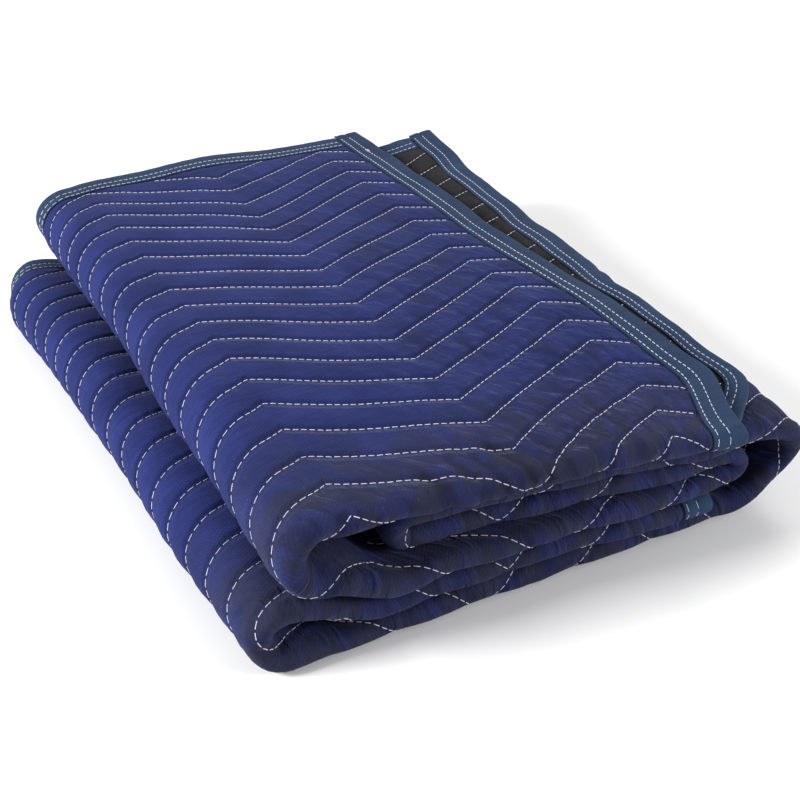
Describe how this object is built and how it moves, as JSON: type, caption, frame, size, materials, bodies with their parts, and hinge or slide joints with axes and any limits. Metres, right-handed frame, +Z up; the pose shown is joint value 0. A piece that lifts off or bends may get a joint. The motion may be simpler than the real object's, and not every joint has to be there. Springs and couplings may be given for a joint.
{
  "type": "folded quilted moving blanket",
  "caption": "Quilted moving blanket folded flat, with zigzag stitching, bound edges and soft rounded folds.",
  "frame": {"origin": "centre of the folded blanket on the surface that it rests on", "axes": "+Z up; -Y towards the long folded front edge; +X towards the bound ends that lie on top"},
  "size_m": [0.4082, 0.5364, 0.0964],
  "materials": {
    "quilted_cotton": "matte blue woven cotton, quilted in zigzag lines",
    "binding_tape": "matte navy woven tape"
  },
  "bodies": {
    "root": {"quilted_blanket": "quilted_cotton", "binding_side_upper": "binding_tape", "binding_side_lower": "binding_tape", "binding_end_top": "binding_tape", "binding_end_bottom": "binding_tape"}
  },
  "joints": []
}
